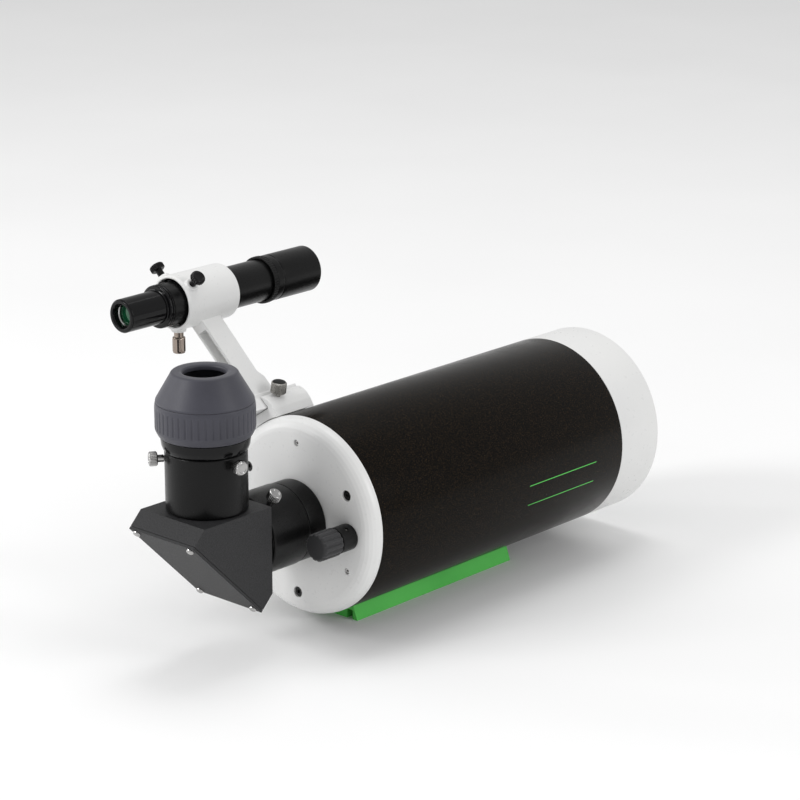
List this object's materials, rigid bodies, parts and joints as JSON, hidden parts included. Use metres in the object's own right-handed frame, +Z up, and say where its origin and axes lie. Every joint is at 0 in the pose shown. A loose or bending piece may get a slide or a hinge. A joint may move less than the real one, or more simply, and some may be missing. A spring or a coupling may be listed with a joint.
{
  "type": "maksutov telescope",
  "caption": "Maksutov-Cassegrain telescope tube with star diagonal, eyepiece, focus knob, straight finder scope on a bracket and a green dovetail bar",
  "frame": {"origin": "centre of the dovetail bar's flat underside", "axes": "+X right seen from behind, +Y forward along the tube to the sky, +Z up"},
  "size_m": [0.1976, 0.4613, 0.2565],
  "materials": {
    "black_gloss_paint": "gloss black paint with fine metallic fleck",
    "white_paint": "gloss white paint",
    "satin_black": "satin black anodised",
    "black_wrinkle_paint": "black wrinkle paint",
    "black_steel": "black oxide socket heads",
    "bright_chrome": "bright chrome",
    "brushed_steel": "plain turned steel",
    "brass": "plain brass",
    "green_anodised": "bright green anodised",
    "grey_rubber": "matte grey rubber",
    "coated_glass": "clear coated optical glass",
    "silvered_glass": "aluminised mirror"
  },
  "bodies": {
    "tube_assembly": {"tube": "black_gloss_paint", "rear_cell": "white_paint", "collimation_plate": "satin_black", "front_cell": "white_paint", "corrector_lens": "coated_glass", "corrector_retaining_ring": "satin_black", "secondary_mirror": "silvered_glass", "secondary_baffle": "satin_black", "baffle_tube": "satin_black", "focus_bush": "brass", "rear_port": "satin_black", "visual_back": "satin_black", "dovetail_bar": "green_anodised", "dovetail_bolt_rear": "brushed_steel", "dovetail_bolt_front": "brushed_steel", "finder_shoe": "white_paint"},
    "mirror_group": {"mirror_carriage": "satin_black", "primary_mirror": "silvered_glass", "mirror_lock_ring": "satin_black", "focus_rod": "brushed_steel", "focus_rod_nut": "brushed_steel"},
    "focus_knob": {"focus_knob_core": "satin_black", "focus_knob_grip": "grey_rubber", "focus_knob_set_screw": "brushed_steel"},
    "back_screw_top": {"visual_back_screw_top": "bright_chrome"},
    "back_screw_left": {"visual_back_screw_left": "bright_chrome"},
    "diagonal": {"diagonal_nosepiece": "bright_chrome", "diagonal_housing": "black_wrinkle_paint", "diagonal_cover": "black_wrinkle_paint", "diagonal_mirror": "silvered_glass", "eyepiece_holder": "satin_black", "compression_ring": "brass"},
    "holder_screw_right": {"holder_screw_right": "bright_chrome"},
    "holder_screw_front": {"holder_screw_front": "bright_chrome"},
    "holder_screw_left": {"holder_screw_left": "bright_chrome"},
    "eyepiece": {"eyepiece_body": "black_gloss_paint", "eyepiece_field_lens": "coated_glass", "eyepiece_eye_lens": "coated_glass"},
    "eyepiece_grip": {"eyepiece_grip_ring": "grey_rubber"},
    "eyecup": {"eyecup": "grey_rubber"},
    "finder_bracket": {"finder_bracket": "white_paint", "finder_plunger_housing": "bright_chrome", "finder_plunger_spring": "brushed_steel"},
    "finder_shoe_screw": {"finder_shoe_screw": "brushed_steel"},
    "alignment_screw_right": {"finder_alignment_screw_right": "satin_black"},
    "alignment_screw_left": {"finder_alignment_screw_left": "satin_black"},
    "finder_pivot_ring": {"finder_o_ring": "grey_rubber"},
    "finder_scope": {"finder_tube": "satin_black", "finder_eyepiece": "black_gloss_paint", "finder_eye_lens": "coated_glass"},
    "finder_plunger": {"finder_plunger_pin": "bright_chrome"},
    "finder_lock_ring": {"finder_lock_ring": "satin_black"},
    "finder_objective": {"finder_objective_lens": "coated_glass"},
    "finder_objective_cell": {"finder_objective_cell": "satin_black"},
    "pull_screw_1": {"collimation_pull_screw_1": "black_steel"},
    "push_screw_1": {"collimation_push_screw_1": "bright_chrome"},
    "pull_screw_2": {"collimation_pull_screw_2": "black_steel"},
    "push_screw_2": {"collimation_push_screw_2": "bright_chrome"},
    "pull_screw_3": {"collimation_pull_screw_3": "black_steel"},
    "push_screw_3": {"collimation_push_screw_3": "bright_chrome"}
  },
  "joints": [
    {"name": "focus_knob_turn", "type": "hinge", "parent": "tube_assembly", "child": "focus_knob", "pos_m": [0.0508, -0.143, 0.083], "axis": [0, 1, 0], "range_deg": [-1440.5, 4800.5]},
    {"name": "mirror_focus", "type": "slide", "parent": "tube_assembly", "child": "mirror_group", "axis": [0, 1, 0], "range_m": [-0.003, 0.01]},
    {"name": "back_screw_top_turn", "type": "hinge", "parent": "tube_assembly", "child": "back_screw_top", "pos_m": [0.01961, -0.169, 0.11449], "axis": [0.5446, 0, 0.8387], "range_deg": [0, 1080]},
    {"name": "back_screw_left_turn", "type": "hinge", "parent": "tube_assembly", "child": "back_screw_left", "pos_m": [-0.03595, -0.169, 0.08618], "axis": [-0.9986, 0, 0.0523], "range_deg": [0, 1080]},
    {"name": "diagonal_turn", "type": "hinge", "parent": "tube_assembly", "child": "diagonal", "pos_m": [0, -0.193, 0.0843], "axis": [0, 1, 0], "range_deg": [-90, 90]},
    {"name": "holder_screw_right_turn", "type": "hinge", "parent": "diagonal", "child": "holder_screw_right", "pos_m": [0.03385, -0.2159, 0.153], "axis": [0.9956, -0.0941, 0], "range_deg": [0, 1080]},
    {"name": "holder_screw_front_turn", "type": "hinge", "parent": "diagonal", "child": "holder_screw_front", "pos_m": [-0.01415, -0.18179, 0.153], "axis": [-0.4163, 0.9092, 0], "range_deg": [0, 1080]},
    {"name": "holder_screw_left_turn", "type": "hinge", "parent": "diagonal", "child": "holder_screw_left", "pos_m": [-0.0197, -0.24041, 0.153], "axis": [-0.5793, -0.8151, 0], "range_deg": [0, 1080]},
    {"name": "eyepiece_lift", "type": "slide", "parent": "diagonal", "child": "eyepiece", "axis": [0, 0, 1], "range_m": [0, 0.04]},
    {"name": "grip_ring_turn", "type": "hinge", "parent": "eyepiece", "child": "eyepiece_grip", "pos_m": [0, -0.2127, 0.1803], "axis": [0, 0, 1], "range_deg": [0, 200]},
    {"name": "eyecup_rise", "type": "slide", "parent": "eyepiece", "child": "eyecup", "axis": [0, 0, 1], "range_m": [0, 0.00801]},
    {"name": "finder_bracket_slide", "type": "slide", "parent": "tube_assembly", "child": "finder_bracket", "axis": [0, -1, 0], "range_m": [0, 0.045]},
    {"name": "shoe_screw_turn", "type": "hinge", "parent": "tube_assembly", "child": "finder_shoe_screw", "pos_m": [-0.03692, -0.105, 0.16875], "axis": [0.1564, 0, 0.9877], "range_deg": [0, 720]},
    {"name": "alignment_screw_right_turn", "type": "hinge", "parent": "finder_bracket", "child": "alignment_screw_right", "pos_m": [-0.0802, -0.144, 0.24884], "axis": [0.7071, 0, 0.7071], "range_deg": [0, 1080]},
    {"name": "alignment_screw_left_turn", "type": "hinge", "parent": "finder_bracket", "child": "alignment_screw_left", "pos_m": [-0.11697, -0.144, 0.24884], "axis": [-0.7071, 0, 0.7071], "range_deg": [0, 1080]},
    {"name": "finder_yaw", "type": "hinge", "parent": "finder_bracket", "child": "finder_pivot_ring", "pos_m": [-0.09859, -0.1062, 0.23046], "axis": [0, 0, 1], "range_deg": [-1, 1]},
    {"name": "finder_pitch", "type": "hinge", "parent": "finder_pivot_ring", "child": "finder_scope", "pos_m": [-0.09859, -0.1062, 0.23046], "axis": [1, 0, 0], "range_deg": [-1, 1]},
    {"name": "plunger_travel", "type": "slide", "parent": "finder_bracket", "child": "finder_plunger", "axis": [0, 0, 1], "range_m": [-0.0007, 0.0007], "deforming": ["finder_plunger_spring"]},
    {"name": "finder_lock_ring_turn", "type": "hinge", "parent": "finder_scope", "child": "finder_lock_ring", "pos_m": [-0.09859, -0.061, 0.23046], "axis": [0, 1, 0], "range_deg": [-90, 90]},
    {"name": "objective_focus", "type": "slide", "parent": "finder_scope", "child": "finder_objective", "axis": [0, 1, 0], "range_m": [0, 0.00301]},
    {"name": "objective_cell_turn", "type": "hinge", "parent": "finder_objective", "child": "finder_objective_cell", "pos_m": [-0.09859, -0.037, 0.23046], "axis": [0, 1, 0], "range_deg": [0, 1080]},
    {"name": "pull_screw_1_turn", "type": "hinge", "parent": "tube_assembly", "child": "pull_screw_1", "pos_m": [0.04876, -0.123, 0.11245], "axis": [0, 1, 0], "range_deg": [-180, 180]},
    {"name": "pull_screw_2_turn", "type": "hinge", "parent": "tube_assembly", "child": "pull_screw_2", "pos_m": [-0.04876, -0.123, 0.11245], "axis": [0, 1, 0], "range_deg": [-180, 180]},
    {"name": "pull_screw_3_turn", "type": "hinge", "parent": "tube_assembly", "child": "pull_screw_3", "pos_m": [0, -0.123, 0.028], "axis": [0, 1, 0], "range_deg": [-180, 180]},
    {"name": "push_screw_1_turn", "type": "hinge", "parent": "tube_assembly", "child": "push_screw_1", "pos_m": [0, -0.123, 0.1406], "axis": [0, 1, 0], "range_deg": [-180, 180]},
    {"name": "push_screw_2_turn", "type": "hinge", "parent": "tube_assembly", "child": "push_screw_2", "pos_m": [-0.04876, -0.123, 0.05615], "axis": [0, 1, 0], "range_deg": [-180, 180]},
    {"name": "push_screw_3_turn", "type": "hinge", "parent": "tube_assembly", "child": "push_screw_3", "pos_m": [0.04876, -0.123, 0.05615], "axis": [0, 1, 0], "range_deg": [-180, 180]}
  ],
  "couplings": [
    {"joint": "focus_knob_turn", "follows": "mirror_focus", "rad_per_m": 8377.6},
    {"joint": "eyecup_rise", "follows": "grip_ring_turn", "m_per_rad": 0.0022918},
    {"joint": "plunger_travel", "follows": "finder_pitch", "m_per_rad": -0.0378},
    {"joint": "objective_focus", "follows": "objective_cell_turn", "m_per_rad": 0.00015915}
  ]
}
